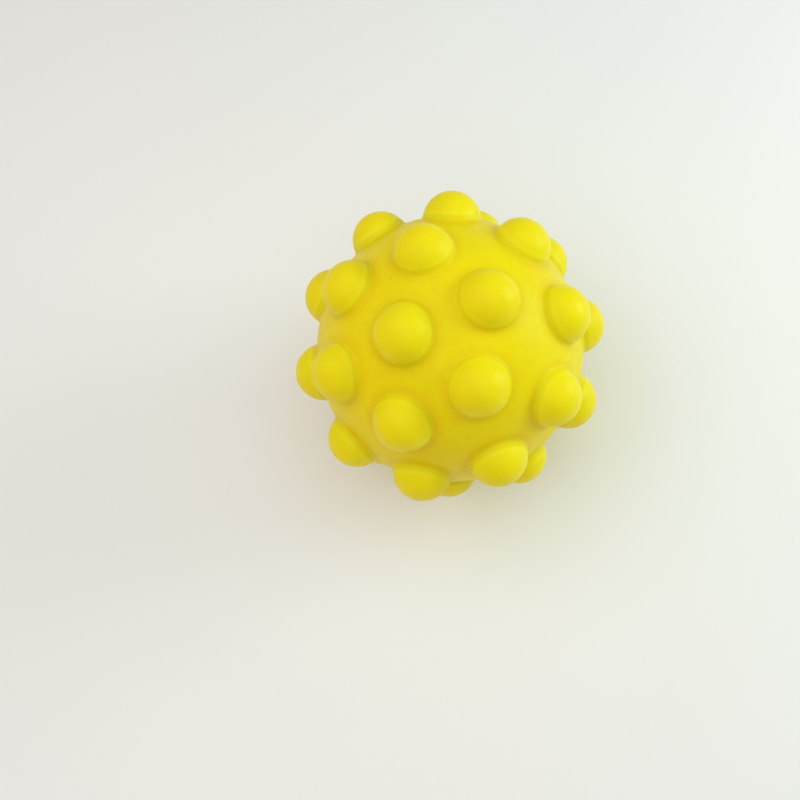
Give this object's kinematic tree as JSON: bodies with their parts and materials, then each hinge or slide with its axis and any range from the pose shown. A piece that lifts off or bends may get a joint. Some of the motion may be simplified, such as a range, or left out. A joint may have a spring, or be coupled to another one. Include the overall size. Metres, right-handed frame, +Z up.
{
  "type": "pop fidget ball",
  "caption": "Hollow soft rubber ball in halves joined round the middle, studded all over with round bubbles that pop in and out under a fingertip.",
  "frame": {"origin": "the ball's centre", "axes": "+Z up with the ball at rest on the ground on its lower pole's bubble and two bubbles of the next ring; the ball's pole axis leans from +Z towards -Y by 20.57 degrees"},
  "size_m": [0.0706, 0.0746, 0.071],
  "materials": {
    "shell_silicone": "satin moulded silicone, plain yellow",
    "bubble_silicone": "satin moulded silicone, plain yellow"
  },
  "bodies": {
    "ball": {"upper_shell": "shell_silicone", "lower_shell": "shell_silicone"},
    "upper_pole_bubble": {"upper_pole_bubble": "bubble_silicone"},
    "upper_inner_bubble_1": {"upper_inner_bubble_1": "bubble_silicone"},
    "upper_inner_bubble_2": {"upper_inner_bubble_2": "bubble_silicone"},
    "upper_inner_bubble_3": {"upper_inner_bubble_3": "bubble_silicone"},
    "upper_inner_bubble_4": {"upper_inner_bubble_4": "bubble_silicone"},
    "upper_inner_bubble_5": {"upper_inner_bubble_5": "bubble_silicone"},
    "upper_inner_bubble_6": {"upper_inner_bubble_6": "bubble_silicone"},
    "upper_outer_bubble_1": {"upper_outer_bubble_1": "bubble_silicone"},
    "upper_outer_bubble_2": {"upper_outer_bubble_2": "bubble_silicone"},
    "upper_outer_bubble_3": {"upper_outer_bubble_3": "bubble_silicone"},
    "upper_outer_bubble_4": {"upper_outer_bubble_4": "bubble_silicone"},
    "upper_outer_bubble_5": {"upper_outer_bubble_5": "bubble_silicone"},
    "upper_outer_bubble_6": {"upper_outer_bubble_6": "bubble_silicone"},
    "upper_outer_bubble_7": {"upper_outer_bubble_7": "bubble_silicone"},
    "upper_outer_bubble_8": {"upper_outer_bubble_8": "bubble_silicone"},
    "upper_outer_bubble_9": {"upper_outer_bubble_9": "bubble_silicone"},
    "upper_outer_bubble_10": {"upper_outer_bubble_10": "bubble_silicone"},
    "lower_pole_bubble": {"lower_pole_bubble": "bubble_silicone"},
    "lower_inner_bubble_1": {"lower_inner_bubble_1": "bubble_silicone"},
    "lower_inner_bubble_2": {"lower_inner_bubble_2": "bubble_silicone"},
    "lower_inner_bubble_3": {"lower_inner_bubble_3": "bubble_silicone"},
    "lower_inner_bubble_4": {"lower_inner_bubble_4": "bubble_silicone"},
    "lower_inner_bubble_5": {"lower_inner_bubble_5": "bubble_silicone"},
    "lower_inner_bubble_6": {"lower_inner_bubble_6": "bubble_silicone"},
    "lower_outer_bubble_1": {"lower_outer_bubble_1": "bubble_silicone"},
    "lower_outer_bubble_2": {"lower_outer_bubble_2": "bubble_silicone"},
    "lower_outer_bubble_3": {"lower_outer_bubble_3": "bubble_silicone"},
    "lower_outer_bubble_4": {"lower_outer_bubble_4": "bubble_silicone"},
    "lower_outer_bubble_5": {"lower_outer_bubble_5": "bubble_silicone"},
    "lower_outer_bubble_6": {"lower_outer_bubble_6": "bubble_silicone"},
    "lower_outer_bubble_7": {"lower_outer_bubble_7": "bubble_silicone"},
    "lower_outer_bubble_8": {"lower_outer_bubble_8": "bubble_silicone"},
    "lower_outer_bubble_9": {"lower_outer_bubble_9": "bubble_silicone"},
    "lower_outer_bubble_10": {"lower_outer_bubble_10": "bubble_silicone"}
  },
  "joints": [
    {"name": "pop_upper_pole", "type": "slide", "parent": "ball", "child": "upper_pole_bubble", "axis": [0, 0.3513, -0.9363], "range_m": [0, 0.0102]},
    {"name": "pop_upper_inner_1", "type": "slide", "parent": "ball", "child": "upper_inner_bubble_1", "axis": [0.2939, -0.1924, -0.9363], "range_m": [0, 0.0102]},
    {"name": "pop_upper_inner_2", "type": "slide", "parent": "ball", "child": "upper_inner_bubble_2", "axis": [0.5878, 0.2842, -0.7575], "range_m": [0, 0.0102]},
    {"name": "pop_upper_inner_3", "type": "slide", "parent": "ball", "child": "upper_inner_bubble_3", "axis": [0.2939, 0.7608, -0.5786], "range_m": [0, 0.0102]},
    {"name": "pop_upper_inner_4", "type": "slide", "parent": "ball", "child": "upper_inner_bubble_4", "axis": [-0.2939, 0.7608, -0.5786], "range_m": [0, 0.0102]},
    {"name": "pop_upper_inner_5", "type": "slide", "parent": "ball", "child": "upper_inner_bubble_5", "axis": [-0.5878, 0.2842, -0.7575], "range_m": [0, 0.0102]},
    {"name": "pop_upper_inner_6", "type": "slide", "parent": "ball", "child": "upper_inner_bubble_6", "axis": [-0.2939, -0.1924, -0.9363], "range_m": [0, 0.0102]},
    {"name": "pop_upper_outer_1", "type": "slide", "parent": "ball", "child": "upper_outer_bubble_1", "axis": [0.4755, -0.6626, -0.5786], "range_m": [0, 0.0102]},
    {"name": "pop_upper_outer_2", "type": "slide", "parent": "ball", "child": "upper_outer_bubble_2", "axis": [0.8688, -0.2536, -0.4252], "range_m": [0, 0.0102]},
    {"name": "pop_upper_outer_3", "type": "slide", "parent": "ball", "child": "upper_outer_bubble_3", "axis": [0.9303, 0.2937, -0.2199], "range_m": [0, 0.0102]},
    {"name": "pop_upper_outer_4", "type": "slide", "parent": "ball", "child": "upper_outer_bubble_4", "axis": [0.6364, 0.7703, -0.0411], "range_m": [0, 0.0102]},
    {"name": "pop_upper_outer_5", "type": "slide", "parent": "ball", "child": "upper_outer_bubble_5", "axis": [0.0994, 0.9941, 0.0429], "range_m": [0, 0.0102]},
    {"name": "pop_upper_outer_6", "type": "slide", "parent": "ball", "child": "upper_outer_bubble_6", "axis": [-0.4755, 0.8797, 0], "range_m": [0, 0.0102]},
    {"name": "pop_upper_outer_7", "type": "slide", "parent": "ball", "child": "upper_outer_bubble_7", "axis": [-0.8688, 0.4707, -0.1534], "range_m": [0, 0.0102]},
    {"name": "pop_upper_outer_8", "type": "slide", "parent": "ball", "child": "upper_outer_bubble_8", "axis": [-0.9303, -0.0766, -0.3588], "range_m": [0, 0.0102]},
    {"name": "pop_upper_outer_9", "type": "slide", "parent": "ball", "child": "upper_outer_bubble_9", "axis": [-0.6364, -0.5532, -0.5376], "range_m": [0, 0.0102]},
    {"name": "pop_upper_outer_10", "type": "slide", "parent": "ball", "child": "upper_outer_bubble_10", "axis": [-0.0994, -0.777, -0.6216], "range_m": [0, 0.0102]},
    {"name": "pop_lower_pole", "type": "slide", "parent": "ball", "child": "lower_pole_bubble", "axis": [0, -0.3513, 0.9363], "range_m": [0, 0.0102]},
    {"name": "pop_lower_inner_1", "type": "slide", "parent": "ball", "child": "lower_inner_bubble_1", "axis": [0.2939, -0.7608, 0.5786], "range_m": [0, 0.0102]},
    {"name": "pop_lower_inner_2", "type": "slide", "parent": "ball", "child": "lower_inner_bubble_2", "axis": [0.5878, -0.2842, 0.7575], "range_m": [0, 0.0102]},
    {"name": "pop_lower_inner_3", "type": "slide", "parent": "ball", "child": "lower_inner_bubble_3", "axis": [0.2939, 0.1924, 0.9363], "range_m": [0, 0.0102]},
    {"name": "pop_lower_inner_4", "type": "slide", "parent": "ball", "child": "lower_inner_bubble_4", "axis": [-0.2939, 0.1924, 0.9363], "range_m": [0, 0.0102]},
    {"name": "pop_lower_inner_5", "type": "slide", "parent": "ball", "child": "lower_inner_bubble_5", "axis": [-0.5878, -0.2842, 0.7575], "range_m": [0, 0.0102]},
    {"name": "pop_lower_inner_6", "type": "slide", "parent": "ball", "child": "lower_inner_bubble_6", "axis": [-0.2939, -0.7608, 0.5786], "range_m": [0, 0.0102]},
    {"name": "pop_lower_outer_1", "type": "slide", "parent": "ball", "child": "lower_outer_bubble_1", "axis": [0.4755, -0.8797, 0], "range_m": [0, 0.0102]},
    {"name": "pop_lower_outer_2", "type": "slide", "parent": "ball", "child": "lower_outer_bubble_2", "axis": [0.8688, -0.4707, 0.1534], "range_m": [0, 0.0102]},
    {"name": "pop_lower_outer_3", "type": "slide", "parent": "ball", "child": "lower_outer_bubble_3", "axis": [0.9303, 0.0766, 0.3588], "range_m": [0, 0.0102]},
    {"name": "pop_lower_outer_4", "type": "slide", "parent": "ball", "child": "lower_outer_bubble_4", "axis": [0.6364, 0.5532, 0.5376], "range_m": [0, 0.0102]},
    {"name": "pop_lower_outer_5", "type": "slide", "parent": "ball", "child": "lower_outer_bubble_5", "axis": [0.0994, 0.777, 0.6216], "range_m": [0, 0.0102]},
    {"name": "pop_lower_outer_6", "type": "slide", "parent": "ball", "child": "lower_outer_bubble_6", "axis": [-0.4755, 0.6626, 0.5786], "range_m": [0, 0.0102]},
    {"name": "pop_lower_outer_7", "type": "slide", "parent": "ball", "child": "lower_outer_bubble_7", "axis": [-0.8688, 0.2536, 0.4252], "range_m": [0, 0.0102]},
    {"name": "pop_lower_outer_8", "type": "slide", "parent": "ball", "child": "lower_outer_bubble_8", "axis": [-0.9303, -0.2937, 0.2199], "range_m": [0, 0.0102]},
    {"name": "pop_lower_outer_9", "type": "slide", "parent": "ball", "child": "lower_outer_bubble_9", "axis": [-0.6364, -0.7703, 0.0411], "range_m": [0, 0.0102]},
    {"name": "pop_lower_outer_10", "type": "slide", "parent": "ball", "child": "lower_outer_bubble_10", "axis": [-0.0994, -0.9941, -0.0429], "range_m": [0, 0.0102]}
  ]
}
